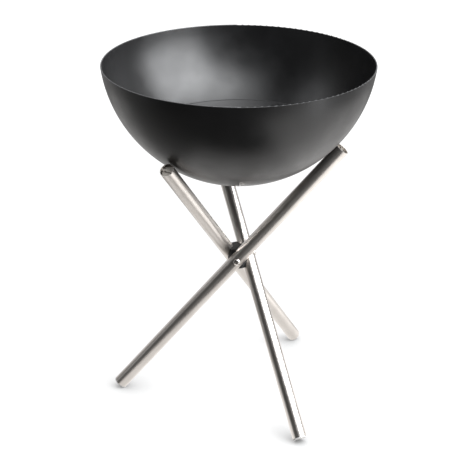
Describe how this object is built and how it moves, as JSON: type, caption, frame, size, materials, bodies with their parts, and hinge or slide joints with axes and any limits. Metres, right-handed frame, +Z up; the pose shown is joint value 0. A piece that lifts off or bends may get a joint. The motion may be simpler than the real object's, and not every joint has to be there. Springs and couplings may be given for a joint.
{
  "type": "fire bowl",
  "caption": "Deep round steel fire bowl that lies loose in a stand of slanting stainless tubes crossed and screwed to a small hub.",
  "frame": {"origin": "on the floor, on the stand's upright axis, under the middle of the bowl", "axes": "+Z up; -Y towards the side that the leg 1 screw head faces, within 5 degrees"},
  "size_m": [0.6496, 0.6494, 0.8796],
  "materials": {
    "bowl_coat": "matt black heat-proof coat on sheet steel",
    "pan_coat": "matt black steel",
    "hub_coat": "matt black",
    "leg_steel": "brushed stainless",
    "web_steel": "plain stainless",
    "spigot_steel": "turned",
    "screw_steel": "satin stainless",
    "plug_plastic": "matt grey plastic"
  },
  "bodies": {
    "stand": {"hub_core": "hub_coat", "leg_tube_1": "leg_steel", "leg_tube_2": "leg_steel", "leg_tube_3": "leg_steel", "leg_end_web_1": "web_steel", "leg_end_web_2": "web_steel", "leg_end_web_3": "web_steel", "foot_plug_1": "plug_plastic", "foot_plug_2": "plug_plastic", "foot_plug_3": "plug_plastic", "hub_spigot_1": "spigot_steel", "hub_spigot_2": "spigot_steel", "hub_spigot_3": "spigot_steel", "saddle_washer_1": "screw_steel", "saddle_washer_2": "screw_steel", "saddle_washer_3": "screw_steel", "leg_screw_1": "screw_steel", "leg_screw_2": "screw_steel", "leg_screw_3": "screw_steel"},
    "bowl": {"bowl_shell": "bowl_coat"},
    "ember_pan": {"ember_pan": "pan_coat"}
  },
  "joints": [
    {"name": "bowl_lift", "type": "slide", "parent": "stand", "child": "bowl", "axis": [0, 0, 1], "range_m": [0, 0.3]},
    {"name": "ember_pan_lift", "type": "slide", "parent": "bowl", "child": "ember_pan", "axis": [0, 0, 1], "range_m": [0, 0.3]}
  ]
}
